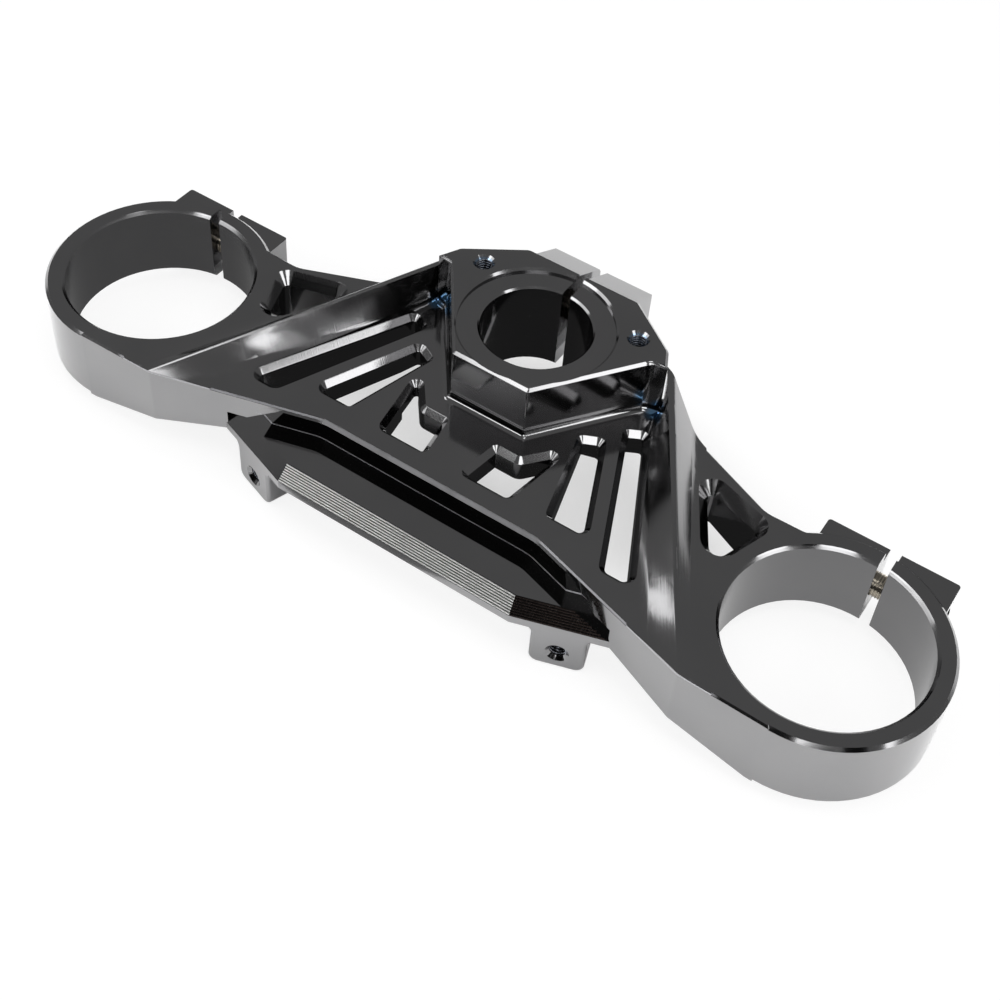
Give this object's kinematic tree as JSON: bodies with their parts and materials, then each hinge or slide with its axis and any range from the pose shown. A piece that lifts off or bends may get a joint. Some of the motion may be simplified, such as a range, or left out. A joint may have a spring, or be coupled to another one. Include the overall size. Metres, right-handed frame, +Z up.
{
  "type": "triple_clamp",
  "caption": "Top yoke of a motorcycle fork, milled from one billet and anodised black, with split fork clamps, a raised stem boss, milled windows and a ribbed front beam.",
  "frame": {"origin": "on the axis of the steering stem, level with the flat top of the web", "axes": "+X from the left fork clamp to the right one, seen from the front; +Y to the rider, so the fork clamps lie at -Y; +Z up along the stem"},
  "size_m": [0.26, 0.0963, 0.0429],
  "materials": {
    "black_anodised": "black anodised, milled and polished",
    "bolt_steel": "zinc plated"
  },
  "bodies": {
    "root": {"yoke_body": "black_anodised", "fork_pinch_bolt_right": "bolt_steel", "fork_pinch_bolt_left": "bolt_steel", "stem_pinch_bolt": "bolt_steel"}
  },
  "joints": []
}
